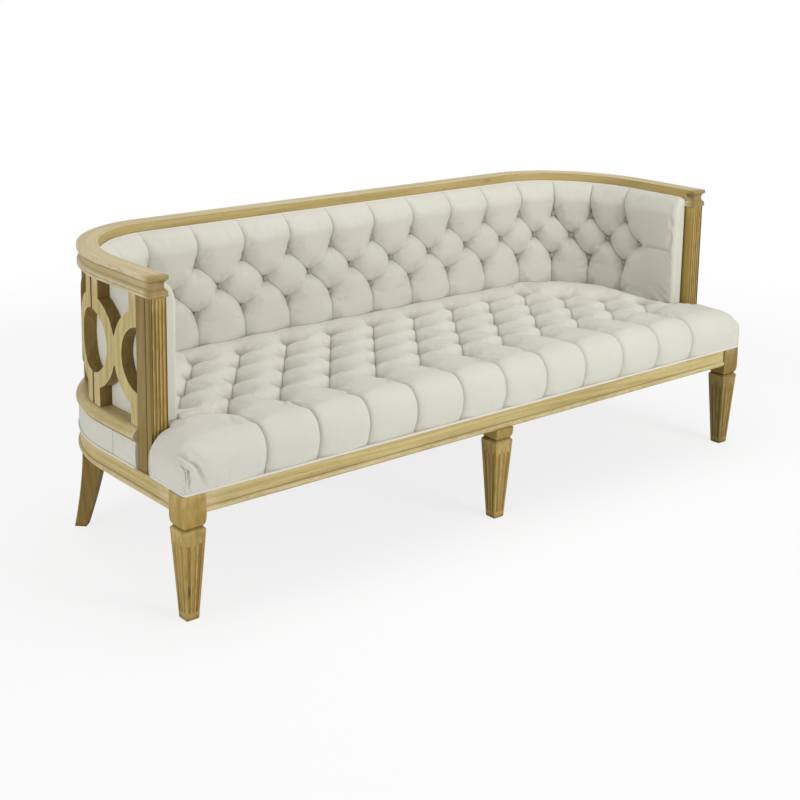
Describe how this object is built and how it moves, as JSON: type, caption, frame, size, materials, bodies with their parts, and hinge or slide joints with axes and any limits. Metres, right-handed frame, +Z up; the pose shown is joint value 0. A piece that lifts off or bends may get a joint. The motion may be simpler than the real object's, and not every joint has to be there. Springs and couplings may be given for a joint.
{
  "type": "upholstered sofa",
  "caption": "Low sofa with a pale oak frame, curved fretwork back and arms, tapered legs and a diamond-tufted off-white seat and inside back.",
  "frame": {"origin": "on the floor, under the middle of the whole sofa", "axes": "+X towards the right arm as seen from the front, +Y towards the back, +Z up"},
  "size_m": [2.022, 0.7864, 0.785],
  "materials": {
    "oak": "pale limed oak, satin",
    "linen": "off-white linen weave",
    "plywood": "raw birch plywood",
    "lining": "grey non-woven lining",
    "nylon": "moulded nylon"
  },
  "bodies": {
    "root": {"apron_back": "oak", "apron_front": "oak", "apron_left": "oak", "apron_right": "oak", "arm_post_left": "oak", "arm_post_right": "oak", "backing_board_back": "plywood", "backing_board_left": "plywood", "backing_board_right": "plywood", "band_back": "linen", "band_left": "linen", "band_right": "linen", "bearer_left": "plywood", "bearer_middle": "plywood", "bearer_right": "plywood", "cap_rail_back": "oak", "cap_rail_left": "oak", "cap_rail_right": "oak", "dust_cover": "lining", "front_brace_left": "plywood", "front_brace_right": "plywood", "front_glide_left": "nylon", "front_glide_middle": "nylon", "front_glide_right": "nylon", "front_leg_left": "oak", "front_leg_middle": "oak", "front_leg_right": "oak", "inside_pad_back": "linen", "inside_pad_left": "linen", "inside_pad_right": "linen", "lower_rail_back": "oak", "lower_rail_left": "oak", "lower_rail_right": "oak", "outside_panel_back": "linen", "outside_panel_left": "linen", "outside_panel_right": "linen", "rear_block_left": "plywood", "rear_block_right": "plywood", "rear_glide_left": "nylon", "rear_glide_middle": "nylon", "rear_glide_right": "nylon", "rear_leg_left": "oak", "rear_leg_middle": "oak", "rear_leg_right": "oak", "seat_deck": "plywood", "seat_pad": "linen", "splat_01": "oak", "splat_02": "oak", "splat_03": "oak", "splat_04": "oak", "splat_05": "oak", "splat_06": "oak", "splat_07": "oak", "splat_08": "oak", "splat_09": "oak", "splat_10": "oak", "splat_11": "oak", "splat_12": "oak"}
  },
  "joints": []
}
